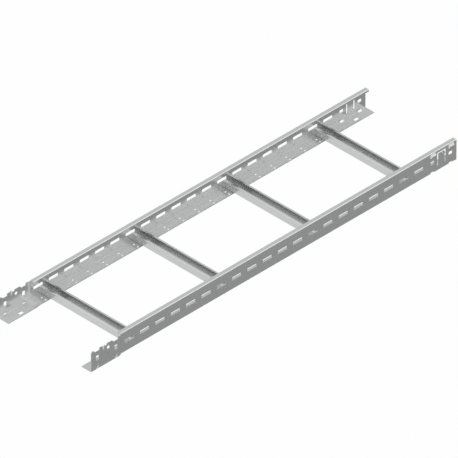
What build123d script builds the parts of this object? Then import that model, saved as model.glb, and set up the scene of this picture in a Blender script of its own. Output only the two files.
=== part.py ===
import os
from math import atan2, cos, floor, hypot, pi, radians, sin

from build123d import *

os.makedirs("parts", exist_ok=True)

# Cable ladder section: two folded side rails, mirror images of each other, and C rungs
# between them. X runs along the rails, Y across the ladder and Z up. The origin is midway
# along and across, level with the underside of the lowered coupling end. Millimetres.

# Ladder
ladder_length = 1200.0
ladder_width = 300.0  # over the outer faces of the two webs
coupling_length = 100.0  # end that laps outside the next section
rung_pitch = 300.0

# Folded sheet
sheet = 1.5
bend = 2.0  # outside radius of every fold
coupling_gap = 0.5  # play between two lapped sheets

# Side rail section
rail_height = 57.5
foot_depth = 30.5
head_depth = 12.5
head_lip = 6.0

# Perforation of the main run
slot_pitch = 50.0
slot_length = 30.0
slot_height = 9.0
slot_corner = 2.0
slot_centre = 29.5  # above the underside of the rail
foot_hole = 5.0
foot_hole_inset = 13.0
foot_hole_spacing = 12.5
arc_sides = 12  # flats that stand for a full round where holes and slots repeat

# Features that both ends share, measured from the end of the rail
catch_inset = 20.0  # first catch
catch_spacing = 60.0
window_inset = 50.0  # rectangular foot hole
window_length = 13.0
window_width = 9.0
window_setback = 20.0  # from the outer face of the main web
nose_inset = 44.5  # latch nose, and the round hole that it clicks into
nose_height = 42.0

# Coupling end: the web and foot step outward and down in a smooth S
joggle_run = 8.0
joggle_steps = 4
lap_top = 54.5  # top edge, above the underside of the rail
notch_width = 14.0
notch_ramp = 5.0
notch_floor = 48.5
corner_radius = 5.0
port_width = 9.0
port_height = 13.0
port_corner = 1.5
port_centre = 30.0
nose_hole = 9.0
lead_width = 9.0
lead_reach = 2.5
lead_inset = 40.0
lead_bottom = 41.0
lead_relief_width = 6.0  # low stretch of the edge beside the lead in
lead_relief_floor = 50.5
barb_width = 12.0
barb_height = 14.5
barb_floor = -0.5
barb_slit = 1.5
barb_gap = 4.0  # below the flap
barb_lean = 25.0  # degrees

# Plain end: ears, spring tongue and the openings that the barbs enter
ear_width = 16.0
ear_offset = 2.0  # ear centre from the catch line
ear_reach = 3.5
ear_tip = 48.5
ear_opening_floor = 45.0
ear_relief_width = 4.0
ear_relief_floor = 42.0
tongue_width = 20.0
tongue_bottom = 14.0
tongue_top = 46.0
tongue_slit = 4.0
tongue_inset = 50.0
nose_radius = 3.5
nose_reach = 2.5
gate_width = 12.0
gate_height = 9.0
gate_centre = 29.5
barb_mouth_width = 12.0
barb_mouth_rise = 4.0
barb_mouth_depth = 5.0

# Rung section
rung_width = 30.0
rung_height = 20.0
rung_lip = 6.0

# Places worked out from the sizes above
rail_end = ladder_length / 2
web_y = -ladder_width / 2
joggle = sheet + coupling_gap
rail_z = joggle
foot_edge_y = web_y + foot_depth
head_bend_z = rail_z + rail_height - bend
lap_top_z = rail_z + lap_top
joggle_start = -rail_end + coupling_length - joggle_run
joggle_end = -rail_end + coupling_length
perforated_run = ladder_length - 2 * coupling_length
slot_count = floor(perforated_run / slot_pitch)
slot_columns = [(number - (slot_count - 1) / 2) * slot_pitch for number in range(slot_count)]
rung_count = floor(ladder_length / rung_pitch)
plain_catches = [rail_end - catch_inset, rail_end - catch_inset - catch_spacing]
coupling_catches = [x - ladder_length + coupling_length for x in plain_catches]

coupling_y = web_y - joggle
web_middle = web_y + sheet / 2
foot_middle = rail_z + sheet / 2
head_middle = rail_z + rail_height - sheet / 2
lip_middle = web_y + head_depth - sheet / 2
nose_x = rail_end - nose_inset

web_plane = Plane.XZ.offset(-web_y)
coupling_plane = Plane.XZ.offset(-coupling_y)
foot_plane = Plane.XY.offset(rail_z)


def folded_section(x, *corners):
    """Section across the rail at x: the sheet's middle line through corners, with its folds."""
    with BuildSketch(Plane.YZ.offset(x)) as section:
        with BuildLine():
            FilletPolyline(*corners, radius=bend - sheet / 2)
        trace(line_width=sheet)
    return section.sketch


def slot_outline():
    """A web slot about its own centre: the hull round its four corner rounds."""
    with BuildSketch() as outline:
        with GridLocations(slot_length - 2 * slot_corner, slot_height - 2 * slot_corner, 2, 2):
            RegularPolygon(slot_corner, arc_sides, major_radius=False, rotation=180 / arc_sides)
        make_hull()
    return outline.sketch


def lapping_angle(x, shift):
    """Foot and web at x, moved outward and down by shift, with no head."""
    return folded_section(
        x,
        (foot_edge_y, foot_middle - shift),
        (web_middle - shift, foot_middle - shift),
        (web_middle - shift, lap_top_z),
    )


def joggle_section(step):
    """One of the sections of the S, from the lowered end at step 0 to the main run."""
    share = step / joggle_steps
    return lapping_angle(joggle_start + share * joggle_run, joggle * (1 + cos(pi * share)) / 2)


with BuildPart() as side_rail_right:
    # Main run: foot, web, head and turned down lip are one sheet
    main_section = folded_section(
        joggle_end,
        (foot_edge_y, foot_middle),
        (web_middle, foot_middle),
        (web_middle, head_middle),
        (lip_middle, head_middle),
        (lip_middle, rail_z + rail_height - head_lip),
    )
    extrude(main_section, amount=ladder_length - coupling_length)

    # Coupling end with its joggle
    loft([joggle_section(step) for step in range(joggle_steps + 1)])
    extrude(lapping_angle(-rail_end, joggle), amount=coupling_length - joggle_run)

    # Slots along the web
    web_slot = slot_outline()
    with BuildSketch(web_plane):
        for x in slot_columns:
            with Locations((x, rail_z + slot_centre)):
                add(web_slot)
    extrude(amount=sheet, both=True, mode=Mode.SUBTRACT)

    # A pair of holes in the foot below each slot, truly round only in the middle two pairs,
    # and a rectangular hole near each end
    with BuildSketch(foot_plane):
        for x in slot_columns:
            first_y = web_y + foot_hole_inset
            with Locations((x, first_y), (x, first_y + foot_hole_spacing)):
                if abs(x) < slot_pitch:
                    Circle(foot_hole / 2)
                else:
                    RegularPolygon(foot_hole / 2, arc_sides, major_radius=False)
        with Locations((0, web_y + window_setback)):
            with GridLocations(ladder_length - 2 * window_inset, 0, 2, 1):
                Rectangle(window_length, window_width)
    extrude(amount=2 * sheet, both=True, mode=Mode.SUBTRACT)

    # Top edge of the coupling end: a round corner, and a notch below each ear of the next rail
    with BuildSketch(coupling_plane):
        with Locations((-rail_end, lap_top_z)):
            Rectangle(2 * corner_radius, 2 * corner_radius)
            with Locations((corner_radius, -corner_radius)):
                Circle(corner_radius, mode=Mode.SUBTRACT)
        for x in coupling_catches:
            left = x - notch_width / 2
            right = x + notch_width / 2
            with BuildLine():
                Polyline(
                    (left - notch_ramp, lap_top_z),
                    (left, rail_z + notch_floor),
                    (right, rail_z + notch_floor),
                    (right, lap_top_z),
                    close=True,
                )
            make_face()
        lead_x = -rail_end + lead_inset
        with Locations((lead_x + lead_width / 2, lap_top_z)):
            Rectangle(
                lead_relief_width, lap_top - lead_relief_floor, align=(Align.MIN, Align.MAX)
            )
    extrude(amount=sheet, both=True, mode=Mode.SUBTRACT)

    # Openings in the coupling end: a port at each catch, and the hole for the latch nose
    with BuildSketch(coupling_plane):
        for x in coupling_catches:
            with Locations((x, rail_z + port_centre)):
                RectangleRounded(port_width, port_height, port_corner)
        with Locations((nose_x - ladder_length + coupling_length, rail_z + nose_height)):
            Circle(nose_hole / 2)
    extrude(amount=sheet, both=True, mode=Mode.SUBTRACT)

    # Lead in for the nose: the top edge is pressed outward to a V that fades out downward
    for face_y, mode in ((coupling_y, Mode.ADD), (coupling_y + sheet, Mode.SUBTRACT)):
        with BuildSketch(Plane.XY.offset(lap_top_z), mode=Mode.PRIVATE) as lead_mouth:
            with BuildLine():
                Polyline(
                    (lead_x - lead_width / 2, face_y),
                    (lead_x, face_y - lead_reach),
                    (lead_x + lead_width / 2, face_y),
                    close=True,
                )
            make_face()
        lead_tip = Vertex(lead_x, face_y, rail_z + lead_bottom)
        loft([lead_mouth.sketch.face(), lead_tip], mode=mode)

    # Barbs low on the coupling end: three cornered flaps, cut free along the bottom and one side
    # and pressed inward about the slanting side
    with BuildSketch(coupling_plane):
        for x in coupling_catches:
            left = x - barb_width / 2
            right = x + barb_width / 2
            with BuildLine():
                Polyline(
                    (left, rail_z + barb_floor),
                    (right, rail_z + barb_floor),
                    (right, rail_z + barb_floor + barb_height),
                    close=True,
                )
            make_face()
    extrude(amount=sheet, both=True, mode=Mode.SUBTRACT)
    barb_slope = atan2(barb_height, barb_width)
    barb_root = hypot(barb_width, barb_height)
    flap_width = barb_width - barb_slit
    lean = radians(barb_lean)
    for x in coupling_catches:
        barb_plane = Plane(
            origin=(x - barb_width / 2, coupling_y, rail_z + barb_floor),
            x_dir=(cos(barb_slope), 0, sin(barb_slope)),
            z_dir=(sin(barb_slope) * sin(lean), -cos(lean), -cos(barb_slope) * sin(lean)),
        )
        with BuildSketch(barb_plane):
            with BuildLine():
                Polyline(
                    (barb_gap / sin(barb_slope), 0),
                    (barb_root - barb_slit / cos(barb_slope), 0),
                    (
                        flap_width * cos(barb_slope) + barb_gap * sin(barb_slope),
                        barb_gap * cos(barb_slope) - flap_width * sin(barb_slope),
                    ),
                    close=True,
                )
            make_face()
        extrude(amount=-sheet)

    # Plain end: gates in the web, mouths for the barbs in the bottom fold
    with BuildSketch(web_plane):
        for x in plain_catches:
            with Locations((x, rail_z + gate_centre)):
                Rectangle(gate_width, gate_height)
    extrude(amount=sheet, both=True, mode=Mode.SUBTRACT)
    for x in plain_catches:
        with Locations((x, web_y, rail_z)):
            Box(
                barb_mouth_width,
                2 * (sheet + barb_mouth_depth),
                2 * barb_mouth_rise,
                mode=Mode.SUBTRACT,
            )

    # Spring tongue, free on three sides, with the latch nose on it
    tongue_x = rail_end - tongue_inset
    slit_width = tongue_width + 2 * tongue_slit
    slit_top = rail_z + tongue_top + tongue_slit
    with BuildSketch(web_plane):
        with Locations((tongue_x, slit_top)):
            Rectangle(
                slit_width, slit_top - rail_z - tongue_bottom, align=(Align.CENTER, Align.MAX)
            )
        with Locations((tongue_x, slit_top - tongue_slit)):
            Rectangle(
                tongue_width,
                tongue_top - tongue_bottom,
                align=(Align.CENTER, Align.MAX),
                mode=Mode.SUBTRACT,
            )
    extrude(amount=sheet, both=True, mode=Mode.SUBTRACT)
    with BuildSketch(web_plane):
        with Locations((nose_x, rail_z + nose_height)):
            Circle(nose_radius)
    extrude(amount=nose_reach)
    with BuildSketch(web_plane.offset(-sheet)):
        with Locations((nose_x, rail_z + nose_height)):
            Circle(nose_radius - sheet)
    extrude(amount=nose_reach, mode=Mode.SUBTRACT)

    # Ears: strips cut from the web and pushed outward, with the opening each one leaves
    with BuildSketch(web_plane):
        for x in plain_catches:
            ear_left = x + ear_offset - ear_width / 2
            with Locations((ear_left, head_bend_z)):
                Rectangle(
                    ear_width,
                    head_bend_z - rail_z - ear_opening_floor,
                    align=(Align.MIN, Align.MAX),
                )
            with Locations((ear_left, rail_z + ear_relief_floor)):
                Rectangle(
                    ear_relief_width,
                    head_bend_z - rail_z - ear_relief_floor,
                    align=(Align.MIN, Align.MIN),
                )
    extrude(amount=sheet, both=True, mode=Mode.SUBTRACT)
    for x in plain_catches:
        ear_left = x + ear_offset - ear_width / 2
        with BuildSketch(Plane.YZ.offset(ear_left)):
            with BuildLine():
                Polyline(
                    (web_middle, head_bend_z + sheet / 2),
                    (web_middle, head_bend_z - sheet / 2),
                    (web_middle - ear_reach, rail_z + ear_tip),
                )
            trace(line_width=sheet)
        extrude(amount=ear_width)

side_rail_right.part.label = "side_rail_right"
export_step(side_rail_right.part, "parts/side_rail_right.step")

with BuildPart() as side_rail_left:
    mirror(side_rail_right.part, about=Plane.XZ)
side_rail_left.part.label = "side_rail_left"
export_step(side_rail_left.part, "parts/side_rail_left.step")

# Rungs: C sections, slot upward, standing on the feet and butting on the webs
rung_span = ladder_width - 2 * sheet
rung_floor = rail_z + sheet
fold_relief = bend - sheet
for number in range(rung_count):
    rung_x = (number - (rung_count - 1) / 2) * rung_pitch
    with BuildPart() as rung:
        with BuildSketch(Plane.XZ.offset(-rung_span / 2)):
            with BuildLine():
                wall_offset = (rung_width - sheet) / 2
                lip_offset = rung_width / 2 - rung_lip
                floor_middle = rung_floor + sheet / 2
                lip_middle_z = rung_floor + rung_height - sheet / 2
                FilletPolyline(
                    (rung_x - lip_offset, lip_middle_z),
                    (rung_x - wall_offset, lip_middle_z),
                    (rung_x - wall_offset, floor_middle),
                    (rung_x + wall_offset, floor_middle),
                    (rung_x + wall_offset, lip_middle_z),
                    (rung_x + lip_offset, lip_middle_z),
                    radius=bend - sheet / 2,
                )
            trace(line_width=sheet)
        extrude(amount=rung_span)
        # The lower corner of each end is cut away to clear the fold of the rail
        with BuildSketch(Plane.YZ.offset(rung_x)):
            for side in (-1, 1):
                with BuildLine():
                    Polyline(
                        (side * rung_span / 2, rung_floor),
                        (side * rung_span / 2, rung_floor + fold_relief),
                        (side * (rung_span / 2 - fold_relief), rung_floor),
                        close=True,
                    )
                make_face()
        extrude(amount=rung_width, both=True, mode=Mode.SUBTRACT)
    rung.part.label = f"rung_{number + 1}"
    export_step(rung.part, f"parts/rung_{number + 1}.step")
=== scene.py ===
import bpy
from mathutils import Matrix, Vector


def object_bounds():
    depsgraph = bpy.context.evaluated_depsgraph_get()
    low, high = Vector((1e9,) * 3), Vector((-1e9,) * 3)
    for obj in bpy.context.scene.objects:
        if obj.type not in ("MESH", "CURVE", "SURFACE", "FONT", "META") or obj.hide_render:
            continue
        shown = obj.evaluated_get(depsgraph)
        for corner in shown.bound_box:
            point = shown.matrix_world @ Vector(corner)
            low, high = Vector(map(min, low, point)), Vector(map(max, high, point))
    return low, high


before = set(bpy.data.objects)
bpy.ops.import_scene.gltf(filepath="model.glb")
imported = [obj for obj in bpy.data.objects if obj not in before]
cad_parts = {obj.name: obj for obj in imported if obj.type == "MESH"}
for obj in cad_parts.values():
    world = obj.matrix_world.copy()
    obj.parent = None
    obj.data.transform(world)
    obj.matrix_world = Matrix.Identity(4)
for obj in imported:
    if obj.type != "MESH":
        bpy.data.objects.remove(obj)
cad_low, cad_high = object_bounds()


# Side rails. Each one is a single strip of zinc coated steel, punched flat, then folded to a foot,
# a web and a turned down head. The end that laps the next section is set outward and down. Rolled
# zinc is satin smooth, with a faint cell pattern.

def linear(hex_colour):
    """An sRGB hex colour such as "C8CACB" as the linear RGBA that a shader socket takes."""
    channels = [int(hex_colour[i:i + 2], 16) / 255 for i in (0, 2, 4)]
    return [c / 12.92 if c <= 0.04045 else ((c + 0.055) / 1.055) ** 2.4 for c in channels] + [1.0]


def add_node(tree, kind, settings=None, values=None, links=None):
    """Adds a node, with its settings, its input values and the outputs that feed its inputs."""
    node = tree.nodes.new(kind)
    for name, value in (settings or {}).items():
        setattr(node, name, value)
    for name, value in (values or {}).items():
        node.inputs[name].default_value = value
    for name, output in (links or {}).items():
        tree.links.new(output, node.inputs[name])
    return node


def zinc_coated_steel(name, rolling_axis):
    """Continuously zinc coated sheet: cells of slightly different grey under a thin pale film."""
    cell_size = 0.003
    cell_share = 0.35  # of the cells in the mottle, beside the haze along the rolling direction
    haze_scale, haze_scale_along = 60.0, 4.0
    dull, pale = linear("C6C7C7"), linear("C9CACA")
    roughness, roughness_spread = 0.2, 0.03

    material = bpy.data.materials.new(name)
    material.use_nodes = True
    tree = material.node_tree
    shader = tree.nodes["Principled BSDF"]
    shader.inputs["Metallic"].default_value = 0.8  # the film scatters part of the light

    place = add_node(tree, "ShaderNodeTexCoord")
    cells = add_node(
        tree, "ShaderNodeTexVoronoi", {"feature": "F1"},
        {"Scale": 1 / cell_size, "Randomness": 1.0}, {"Vector": place.outputs["Object"]},
    )
    cell_grey = add_node(tree, "ShaderNodeRGBToBW", links={"Color": cells.outputs["Color"]})

    stretch = [haze_scale] * 3
    stretch[rolling_axis] = haze_scale_along
    rolled = add_node(
        tree, "ShaderNodeMapping", values={"Scale": stretch},
        links={"Vector": place.outputs["Object"]},
    )
    haze = add_node(
        tree, "ShaderNodeTexNoise", values={"Scale": 1.0, "Detail": 3.0, "Roughness": 0.55},
        links={"Vector": rolled.outputs["Vector"]},
    )
    mottle = add_node(
        tree, "ShaderNodeMath", {"operation": "MULTIPLY_ADD"}, {1: cell_share},
        {0: cell_grey.outputs["Val"], 2: haze.outputs["Fac"]},
    )
    grey = add_node(
        tree, "ShaderNodeMapRange", values={"From Min": 0.35, "From Max": 1.0},
        links={"Value": mottle.outputs["Value"]},
    )
    colour = add_node(
        tree, "ShaderNodeMix", {"data_type": "RGBA"}, {"A": dull, "B": pale},
        {"Factor": grey.outputs["Result"]},
    )
    satin = add_node(
        tree, "ShaderNodeMapRange",
        values={"To Min": roughness + roughness_spread, "To Max": roughness - roughness_spread},
        links={"Value": grey.outputs["Result"]},
    )
    tree.links.new(colour.outputs["Result"], shader.inputs["Base Color"])
    tree.links.new(satin.outputs["Result"], shader.inputs["Roughness"])
    return material


rail_zinc = zinc_coated_steel("zinc_coated_rail_sheet", rolling_axis=0)
for rail in ("side_rail_right", "side_rail_left"):
    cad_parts[rail].material_slots[0].material = rail_zinc


# Rungs. Short lengths of roll formed C channel, slot upward, standing on the feet of the rails and
# butting on the webs. The same zinc coated sheet, with its rolling direction across the ladder.

rung_zinc = zinc_coated_steel("zinc_coated_rung_channel", rolling_axis=1)
for number in range(1, 5):
    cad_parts[f"rung_{number}"].material_slots[0].material = rung_zinc


# Studio. A wide floor that glows evenly white, and around it a dim room with large soft panels,
# placed where the sheet's faces and corners mirror them towards the camera. A long lens, because
# the photograph shows the ladder with no perspective.

floor_half = 60.0
floor_gap = 0.0002
floor_mesh = bpy.data.meshes.new("studio_floor")
floor_mesh.from_pydata(
    [(-floor_half, -floor_half, 0), (floor_half, -floor_half, 0),
     (floor_half, floor_half, 0), (-floor_half, floor_half, 0)],
    [], [(0, 1, 2, 3)],
)
floor = bpy.data.objects.new("studio_floor", floor_mesh)
bpy.context.scene.collection.objects.link(floor)
floor.location.z = cad_low.z - floor_gap
floor.visible_glossy = False
light_table = bpy.data.materials.new("lit_white_acrylic")
light_table.use_nodes = True
table_shader = light_table.node_tree.nodes["Principled BSDF"]
table_shader.inputs["Base Color"].default_value = linear("000000")
table_shader.inputs["Roughness"].default_value = 0.9
table_shader.inputs["Specular IOR Level"].default_value = 0.0
table_shader.inputs["Emission Color"].default_value = linear("FEFEFE")
table_shader.inputs["Emission Strength"].default_value = 1.0
light_table.cycles.emission_sampling = "NONE"  # met by chance rays only, which leaves less grain
floor_mesh.materials.append(light_table)

world = bpy.data.worlds.new("soft_studio")
bpy.context.scene.world = world
world.use_nodes = True
sky = world.node_tree
background = sky.nodes["Background"]
background.inputs["Color"].default_value = linear("FFFFFF")
direction = add_node(sky, "ShaderNodeTexCoord")

# Each soft panel: the way to its middle, the cosine from there at which it fades out, its strength
corner = 3 ** -0.5
panels = (
    ((corner, corner, corner), 0.3, 0.46),
    ((-corner, corner, -corner), 0.3, 0.68),
    ((-corner, corner, corner), 0.62, 0.67),
    ((corner, -corner, corner), 0.6, 1.09),
    ((-corner, -corner, corner), 0.3, 0.35),
    ((-corner, -corner, corner), 0.62, 0.95),
    ((-corner, -corner, -corner), 0.5, 0.85),
    ((0.0, 0.0, 1.0), 0.5, 0.35),
    ((0.04, -0.81, -0.58), 0.85, 0.2),
)
room_level = 0.28
total = None
for middle, edge_cosine, strength in panels:
    cosine = add_node(
        sky, "ShaderNodeVectorMath", {"operation": "DOT_PRODUCT"}, {1: middle},
        {0: direction.outputs["Generated"]},
    )
    panel = add_node(
        sky, "ShaderNodeMapRange", {"interpolation_type": "SMOOTHSTEP"},
        {"From Min": edge_cosine, "From Max": 1.0, "To Max": strength},
        {"Value": cosine.outputs["Value"]},
    )
    light = add_node(
        sky, "ShaderNodeMath", {"operation": "ADD"}, {1: room_level}, {0: panel.outputs["Result"]},
    )
    if total:
        sky.links.new(total, light.inputs[1])
    total = light.outputs["Value"]

# Where the camera sees past the floor it meets a plain white wall
ray = add_node(sky, "ShaderNodeLightPath")
seen = add_node(
    sky, "ShaderNodeMix", {"data_type": "FLOAT"}, {"B": 1.0},
    {"A": total, "Factor": ray.outputs["Is Camera Ray"]},
)
sky.links.new(seen.outputs["Result"], background.inputs["Strength"])

# The long lens, set so that the photograph's 458 pixels cover the same width of ladder
lens_length = 1700.0
sensor_size = 36.0
view_width = 1.0622
aim = Vector((0.0, 0.0, 0.0285))
look = Vector((1.0, 1.0, -1.0)).normalized()
distance = view_width / sensor_size * lens_length
camera_data = bpy.data.cameras.new("photo_camera")
camera_data.lens = lens_length
camera_data.sensor_width = sensor_size
camera_data.clip_start = 1.0
camera_data.clip_end = 200.0
camera = bpy.data.objects.new("photo_camera", camera_data)
bpy.context.scene.collection.objects.link(camera)
camera.location = aim - look * distance
camera.rotation_mode = "QUATERNION"
camera.rotation_quaternion = look.to_track_quat("-Z", "Y")
bpy.context.scene.camera = camera
bpy.context.scene.view_settings.view_transform = "Standard"
